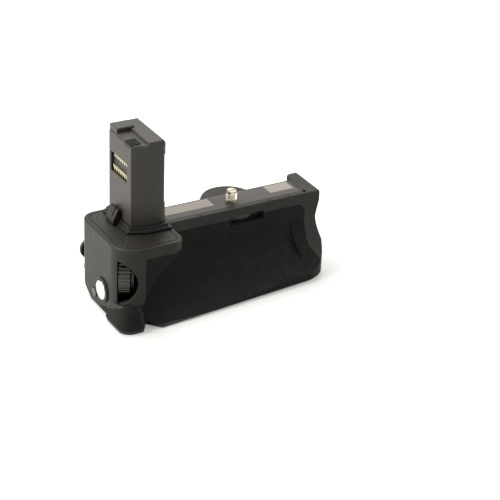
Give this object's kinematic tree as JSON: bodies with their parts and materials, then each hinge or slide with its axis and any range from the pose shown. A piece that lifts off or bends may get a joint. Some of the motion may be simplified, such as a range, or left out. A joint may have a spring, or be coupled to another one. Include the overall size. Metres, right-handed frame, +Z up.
{
  "type": "camera battery grip",
  "caption": "Camera battery grip: battery plug, camera screw turned by a thumb wheel, control dials and buttons, and a battery tray that slides out of one end and locks.",
  "frame": {"origin": "on the base face, straight under the axis of the camera screw", "axes": "+X along the grip from the plug's end to the battery tray's end, +Y to the rear, +Z up towards the camera along the camera screw"},
  "size_m": [0.1336, 0.0609, 0.0966],
  "materials": {
    "shell_black": "satin",
    "cover_black": "satin",
    "rubber_black": "matte",
    "plug_black": "satin",
    "gloss_black": "gloss",
    "steel": "satin",
    "black_steel": "satin",
    "silver": "polished",
    "gold": "polished",
    "wheel_black": "satin",
    "label_grey": "matte",
    "board_green": "satin",
    "chip_black": "matte",
    "battery_grey": "satin",
    "contact_block": "satin"
  },
  "bodies": {
    "grip": {"base_plate": "cover_black", "base_screws": "black_steel", "bay_contact_block": "contact_block", "bay_contacts": "gold", "board_chips": "chip_black", "camera_seat": "cover_black", "control_board": "board_green", "control_cover": "cover_black", "dial_bracket": "contact_block", "dial_pin": "steel", "door_catch": "plug_black", "finger_rest_rubber": "rubber_black", "hand_grip_rubber": "rubber_black", "left_label": "label_grey", "lower_housing": "shell_black", "main_board": "board_green", "plug_collar": "plug_black", "plug_contact_board": "contact_block", "plug_shell": "plug_black", "plug_spring_contacts": "gold", "plug_upper_contacts": "gold", "rear_cover": "shell_black", "rear_dial_pin": "steel", "rear_dial_post": "contact_block", "rear_screws": "black_steel", "right_label": "label_grey", "shutter_switch": "contact_block", "switch_bracket": "contact_block", "thumb_pad": "rubber_black", "tip_terminal_block": "plug_black", "top_cover": "cover_black", "top_screws": "black_steel", "tripod_socket": "steel", "wheel_axle": "steel"},
    "thumb_wheel": {"thumb_wheel": "wheel_black"},
    "camera_screw": {"camera_screw": "steel"},
    "shutter_button": {"shutter_button": "silver"},
    "power_ring": {"power_ring": "cover_black"},
    "end_button": {"end_button": "gloss_black"},
    "front_dial": {"front_dial": "gloss_black"},
    "rear_dial": {"rear_dial": "gloss_black"},
    "mode_lever": {"mode_lever": "shell_black"},
    "mode_button": {"mode_button": "gloss_black"},
    "rear_button": {"rear_button": "gloss_black"},
    "tray": {"battery_tray": "shell_black", "tray_cap": "shell_black", "inner_battery": "battery_grey", "outer_battery": "battery_grey"},
    "tray_lock": {"tray_lock": "silver"}
  },
  "joints": [
    {"name": "thumb_wheel_turn", "type": "hinge", "parent": "grip", "child": "thumb_wheel", "pos_m": [0.0024, 0.0078, 0.0388], "axis": [0, 0, 1], "continuous": true},
    {"name": "camera_screw_turn", "type": "hinge", "parent": "grip", "child": "camera_screw", "pos_m": [0, 0, 0.045], "axis": [0, 0, 1], "continuous": true},
    {"name": "shutter_press", "type": "slide", "parent": "grip", "child": "shutter_button", "axis": [1, 0, 0], "range_m": [0, 0.0004], "stiffness_N_per_m": 400, "springref_m": -0.0004},
    {"name": "power_ring_turn", "type": "hinge", "parent": "grip", "child": "power_ring", "pos_m": [-0.0812, -0.0078, 0.0136], "axis": [-1, 0, 0], "range_deg": [0, 30]},
    {"name": "end_button_press", "type": "slide", "parent": "grip", "child": "end_button", "axis": [1, 0, 0], "range_m": [0, 0.0005], "stiffness_N_per_m": 400, "springref_m": -0.0004},
    {"name": "front_dial_turn", "type": "hinge", "parent": "grip", "child": "front_dial", "pos_m": [-0.0715, -0.0148, 0.0252], "axis": [0.9063, -0.4226, 0], "continuous": true},
    {"name": "rear_dial_turn", "type": "hinge", "parent": "grip", "child": "rear_dial", "pos_m": [-0.075, 0.0085, 0.0099], "axis": [1, 0, 0], "continuous": true},
    {"name": "mode_lever_turn", "type": "hinge", "parent": "grip", "child": "mode_lever", "pos_m": [-0.0735, 0.0221, 0.0225], "axis": [0, 1, 0], "range_deg": [-25, 25]},
    {"name": "mode_button_press", "type": "slide", "parent": "grip", "child": "mode_button", "axis": [0, -1, 0], "range_m": [0, 0.0005], "stiffness_N_per_m": 400, "springref_m": -0.0004},
    {"name": "rear_button_press", "type": "slide", "parent": "grip", "child": "rear_button", "axis": [0, -1, 0], "range_m": [0, 0.0005], "stiffness_N_per_m": 400, "springref_m": -0.0004},
    {"name": "tray_slide", "type": "slide", "parent": "grip", "child": "tray", "axis": [1, 0, 0], "range_m": [0, 0.095]},
    {"name": "tray_lock_turn", "type": "hinge", "parent": "tray", "child": "tray_lock", "pos_m": [0.05, 0.00315, 0.017], "axis": [1, 0, 0], "range_deg": [-90, 0]}
  ],
  "couplings": [
    {"joint": "camera_screw_turn", "follows": "thumb_wheel_turn", "ratio": 2.8}
  ]
}
